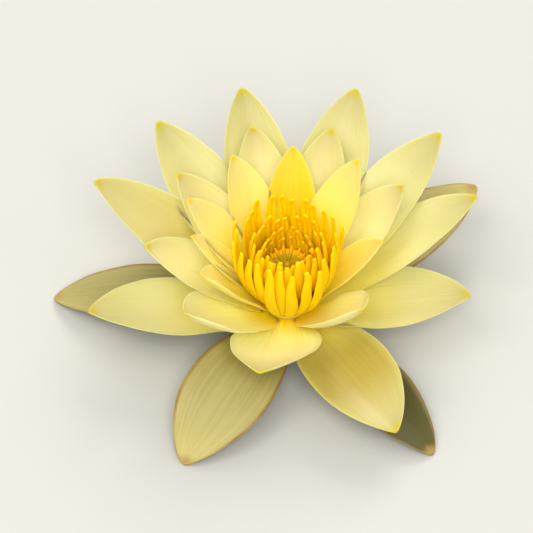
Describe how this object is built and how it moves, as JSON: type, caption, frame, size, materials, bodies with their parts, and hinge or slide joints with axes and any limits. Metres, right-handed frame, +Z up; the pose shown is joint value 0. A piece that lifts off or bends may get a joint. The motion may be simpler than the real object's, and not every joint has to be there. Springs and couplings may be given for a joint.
{
  "type": "water lily flower",
  "caption": "Open pale yellow water lily bloom with drooping sepals, cupped petals in whorls, golden stamens and a short cut stem, resting upright.",
  "frame": {"origin": "centre of the bloom's box on the surface it stands on", "axes": "+Z up along the stem and flower axis; +X to the right and +Y away from the viewer of the picture"},
  "size_m": [0.1146, 0.1032, 0.0417],
  "materials": {
    "stem": "olive brown stem skin, softly satin, with a paler moist cut end",
    "sepal": "beige yellow inside with fine lengthwise streaks and reddish margins, olive green outside, satin",
    "outer_petal": "pale greenish cream petal tissue, translucent satin with faint veins",
    "middle_petal": "light yellow petal tissue, deeper at the root, translucent satin",
    "inner_petal": "warm yellow petal tissue, golden at the root, translucent satin",
    "stamen": "golden yellow, powdery matt with orange shading",
    "pistil": "olive yellow, moist satin"
  },
  "bodies": {
    "root": {"stem": "stem", "sepals": "sepal", "outer_petals": "outer_petal", "middle_petals": "middle_petal", "inner_petals": "inner_petal", "stamens": "stamen", "pistil": "pistil"}
  },
  "joints": []
}
